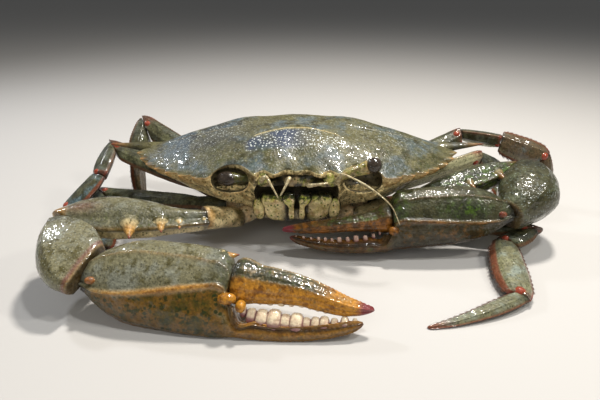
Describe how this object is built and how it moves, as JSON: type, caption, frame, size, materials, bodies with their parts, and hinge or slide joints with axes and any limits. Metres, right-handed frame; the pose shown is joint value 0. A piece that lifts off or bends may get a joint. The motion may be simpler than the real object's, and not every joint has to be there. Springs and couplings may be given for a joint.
{
  "type": "blue crab",
  "caption": "Life-size still model of a blue crab resting on its legs, one claw held out in front and the other folded under the face",
  "frame": {"origin": "centre of the footprint, on the floor", "axes": "X+ toward the crab's left side, Y+ toward its rear, Z+ up; it faces Y-"},
  "size_m": [0.2252, 0.1796, 0.0454],
  "materials": {
    "back": "wet olive-grey shell, mottled slate blue, with pale granules",
    "belly": "smooth cream under-shell with green specks",
    "claw": "wet olive shell with orange ridges",
    "leg": "wet teal-olive shell with brown fringes",
    "finger": "orange-brown, darker above, with a purple tip",
    "eye": "dark brown-grey, polished",
    "feeler": "pale tan and thin",
    "mouth": "cream mouth plates with green specks"
  },
  "bodies": {
    "root": {"carapace": "back", "thorax": "belly", "abdomen": "belly", "epistome": "mouth", "maxilliped_right": "mouth", "eyestalk_right": "mouth", "eye_right": "eye", "antenna_right": "feeler", "antennule_right": "feeler", "maxilliped_left": "mouth", "eyestalk_left": "mouth", "eye_left": "eye", "antenna_left": "feeler", "antennule_left": "feeler", "cheliped_right_ischium": "claw", "cheliped_right_merus": "claw", "cheliped_right_carpus": "claw", "cheliped_right_palm": "claw", "cheliped_right_finger": "finger", "cheliped_left_ischium": "claw", "cheliped_left_merus": "claw", "cheliped_left_carpus": "claw", "cheliped_left_palm": "claw", "cheliped_left_finger": "finger", "leg1_right_merus": "leg", "leg1_right_carpus": "leg", "leg1_right_propodus": "leg", "leg1_right_dactyl": "leg", "leg1_left_merus": "leg", "leg1_left_carpus": "leg", "leg1_left_propodus": "leg", "leg1_left_dactyl": "leg", "leg2_right_merus": "leg", "leg2_right_carpus": "leg", "leg2_right_propodus": "leg", "leg2_right_dactyl": "leg", "leg2_left_merus": "leg", "leg2_left_carpus": "leg", "leg2_left_propodus": "leg", "leg2_left_dactyl": "leg", "leg3_right_merus": "leg", "leg3_right_carpus": "leg", "leg3_right_propodus": "leg", "leg3_right_dactyl": "leg", "leg3_left_merus": "leg", "leg3_left_carpus": "leg", "leg3_left_propodus": "leg", "leg3_left_dactyl": "leg", "swimmer_right_merus": "leg", "swimmer_right_carpus": "leg", "swimmer_right_propodus": "leg", "swimmer_right_paddle": "leg", "swimmer_left_merus": "leg", "swimmer_left_carpus": "leg", "swimmer_left_propodus": "leg", "swimmer_left_paddle": "leg"}
  },
  "joints": []
}
